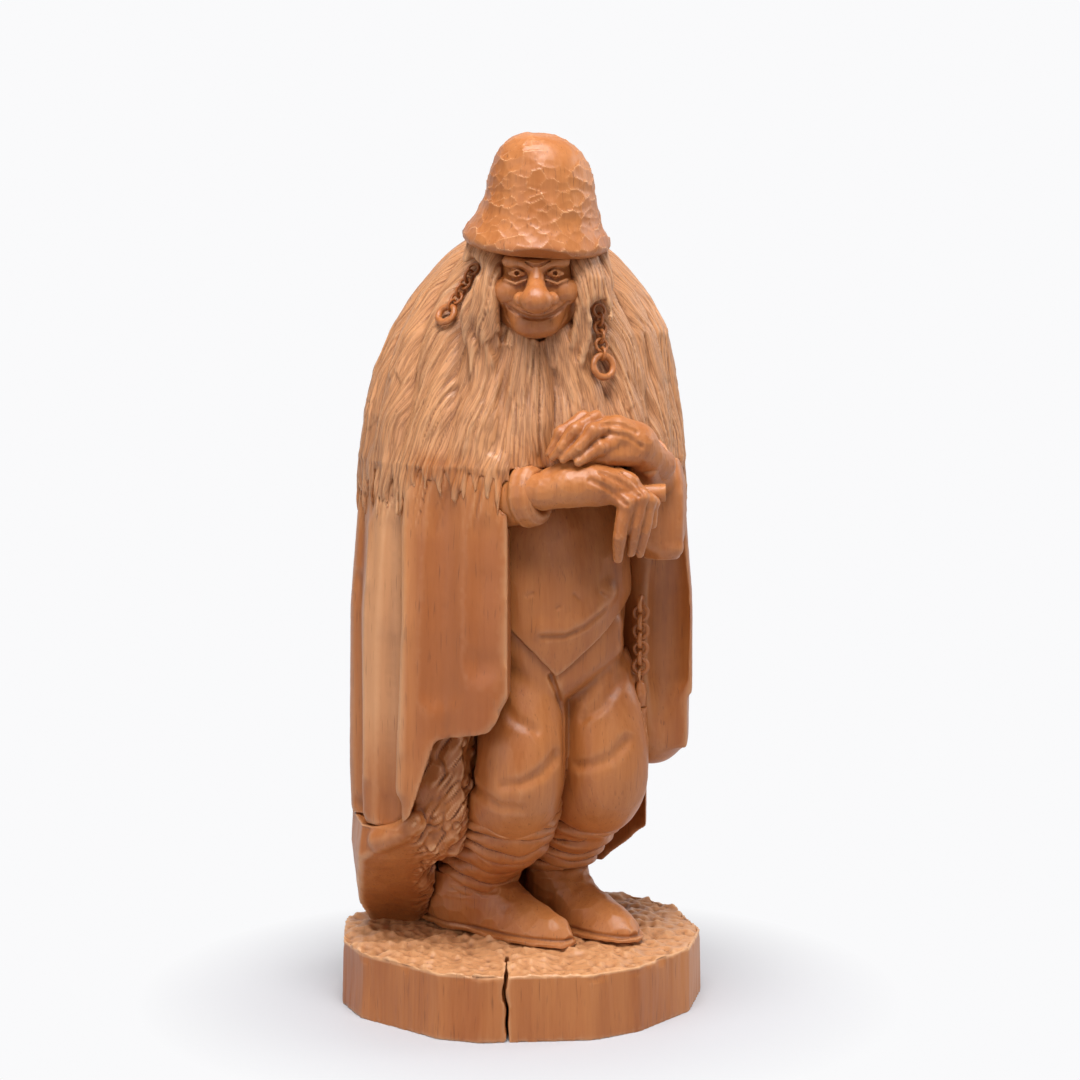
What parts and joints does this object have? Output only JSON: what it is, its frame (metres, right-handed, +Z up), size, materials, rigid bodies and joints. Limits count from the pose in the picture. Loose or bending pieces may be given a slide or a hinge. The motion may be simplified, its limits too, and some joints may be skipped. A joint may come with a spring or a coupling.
{
  "type": "carved wooden troll figure",
  "caption": "Hand-carved wooden troll in a hat and long fur-collared cloak, leaning on a stick with folded hands, on a round base cut from a log.",
  "frame": {"origin": "centre of the base's underside", "axes": "+Z up; the troll's face looks along -Y; its own left is +X"},
  "size_m": [0.1316, 0.1317, 0.3124],
  "materials": {
    "carved_wood": "waxed, satin, knife and gouge marks left showing",
    "peg_wood": "plain turned dowel, hidden in the joints"
  },
  "bodies": {
    "root": {"base": "carved_wood", "stump": "carved_wood", "right_shoe": "carved_wood", "left_shoe": "carved_wood", "right_stocking": "carved_wood", "left_stocking": "carved_wood", "breeches": "carved_wood", "tunic": "carved_wood", "cloak": "carved_wood", "mantle": "carved_wood", "head": "carved_wood", "hat": "carved_wood", "right_sleeve": "carved_wood", "right_hand": "carved_wood", "left_sleeve": "carved_wood", "left_hand": "carved_wood", "stick": "carved_wood", "right_ear_chain": "carved_wood", "right_ear_ring": "carved_wood", "left_ear_chain": "carved_wood", "left_ear_ring": "carved_wood", "knife_chain": "carved_wood", "knife": "carved_wood", "sheath": "carved_wood", "foot_pegs": "peg_wood", "stump_pegs": "peg_wood", "ankle_pegs": "peg_wood", "knee_pegs": "peg_wood", "waist_peg": "peg_wood", "neck_peg": "peg_wood", "mantle_pegs": "peg_wood", "head_peg": "peg_wood", "hat_peg": "peg_wood", "wrist_pegs": "peg_wood"}
  },
  "joints": []
}
